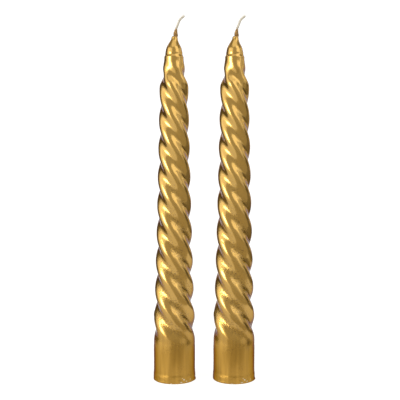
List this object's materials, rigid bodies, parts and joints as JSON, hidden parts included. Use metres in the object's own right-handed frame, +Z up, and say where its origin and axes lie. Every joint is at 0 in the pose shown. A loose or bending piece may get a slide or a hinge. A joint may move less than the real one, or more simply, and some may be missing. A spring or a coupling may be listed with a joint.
{
  "type": "spiral taper candles",
  "caption": "Pair of gold taper candles with a left-hand spiral twist, round shanks for standard holders and bare cotton wicks.",
  "frame": {"origin": "on the standing surface, midway between the axes of the two candles", "axes": "+Z up along the candles, +X from the left candle to the right one, +Y away from someone who faces them"},
  "size_m": [0.055, 0.0224, 0.1966],
  "materials": {
    "gold_lacquer": "glossy metallic gold lacquer",
    "wax": "waxy satin",
    "wick_cotton": "braided cotton, lightly waxed",
    "lacquered_wick": "wax with gold brown lacquer, uneven"
  },
  "bodies": {
    "root": {"left_wax_body": "wax", "left_gold_coat": "gold_lacquer", "left_wick": "wick_cotton", "left_wick_sleeve": "lacquered_wick", "right_wax_body": "wax", "right_gold_coat": "gold_lacquer", "right_wick": "wick_cotton", "right_wick_sleeve": "lacquered_wick"}
  },
  "joints": []
}
